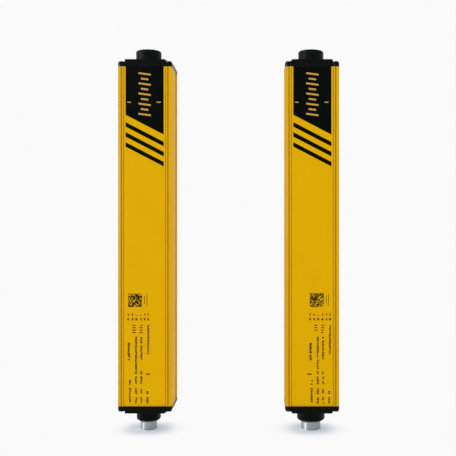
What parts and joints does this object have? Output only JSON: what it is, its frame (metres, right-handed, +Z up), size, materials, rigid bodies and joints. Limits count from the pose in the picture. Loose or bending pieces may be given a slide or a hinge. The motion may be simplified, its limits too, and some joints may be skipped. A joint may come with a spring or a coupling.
{
  "type": "safety light curtain",
  "caption": "Pair of upright yellow sensor bars, an emitter and a receiver, with black end caps, round pivot stubs and threaded connectors; optical windows at the back.",
  "frame": {"origin": "midway between the two bars, on the plane of the two connector mouths, at mid depth of the housings", "axes": "+Z up along the bars, from the connectors to the top knobs; the labels face -Y and the optical windows +Y; the emitter is at -X and the receiver at +X"},
  "size_m": [0.1552, 0.04, 0.2725],
  "materials": {
    "yellow_paint": "smooth semi-gloss powder coat",
    "label_film": "satin printed film",
    "black_ink": "satin print",
    "cap_plastic": "satin moulded",
    "window_acrylic": "polished, dark tinted",
    "seal_rubber": "matt",
    "screw_steel": "black oxide",
    "optics_plastic": "matt moulded",
    "lens_acrylic": "polished clear",
    "board_laminate": "solder mask",
    "chip_resin": "matt moulded",
    "diode_resin": "tinted resin",
    "lamp_resin": "milky resin",
    "header_plastic": "moulded",
    "capacitor_can": "drawn can",
    "nickel_plate": "bright nickel plate",
    "insert_plastic": "moulded",
    "pin_gold": "gold plate"
  },
  "bodies": {
    "root": {"emitter_beam_board": "board_laminate", "emitter_board_header": "header_plastic", "emitter_bottom_cap": "cap_plastic", "emitter_bottom_gasket": "seal_rubber", "emitter_bottom_screws": "screw_steel", "emitter_capacitor": "capacitor_can", "emitter_connector_board": "board_laminate", "emitter_connector_insert": "insert_plastic", "emitter_connector_pins": "pin_gold", "emitter_connector_shell": "nickel_plate", "emitter_control_board": "board_laminate", "emitter_controller": "chip_resin", "emitter_driver_chips": "chip_resin", "emitter_header_print": "black_ink", "emitter_housing": "yellow_paint", "emitter_infrared_leds": "diode_resin", "emitter_label": "label_film", "emitter_lens_strip": "lens_acrylic", "emitter_link_header": "header_plastic", "emitter_optics_block": "optics_plastic", "emitter_status_leds": "lamp_resin", "emitter_top_cap": "cap_plastic", "emitter_top_gasket": "seal_rubber", "emitter_top_screws": "screw_steel", "emitter_window": "window_acrylic", "emitter_window_seal_left": "seal_rubber", "emitter_window_seal_right": "seal_rubber", "receiver_amplifier_chips": "chip_resin", "receiver_beam_board": "board_laminate", "receiver_board_header": "header_plastic", "receiver_bottom_cap": "cap_plastic", "receiver_bottom_gasket": "seal_rubber", "receiver_bottom_screws": "screw_steel", "receiver_capacitor": "capacitor_can", "receiver_connector_board": "board_laminate", "receiver_connector_insert": "insert_plastic", "receiver_connector_pins": "pin_gold", "receiver_connector_shell": "nickel_plate", "receiver_control_board": "board_laminate", "receiver_controllers": "chip_resin", "receiver_header_print": "black_ink", "receiver_housing": "yellow_paint", "receiver_label": "label_film", "receiver_lens_strip": "lens_acrylic", "receiver_link_header": "header_plastic", "receiver_optics_block": "optics_plastic", "receiver_output_transistors": "chip_resin", "receiver_photodiodes": "diode_resin", "receiver_status_leds": "lamp_resin", "receiver_top_cap": "cap_plastic", "receiver_top_gasket": "seal_rubber", "receiver_top_screws": "screw_steel", "receiver_window": "window_acrylic", "receiver_window_seal_left": "seal_rubber", "receiver_window_seal_right": "seal_rubber"}
  },
  "joints": []
}
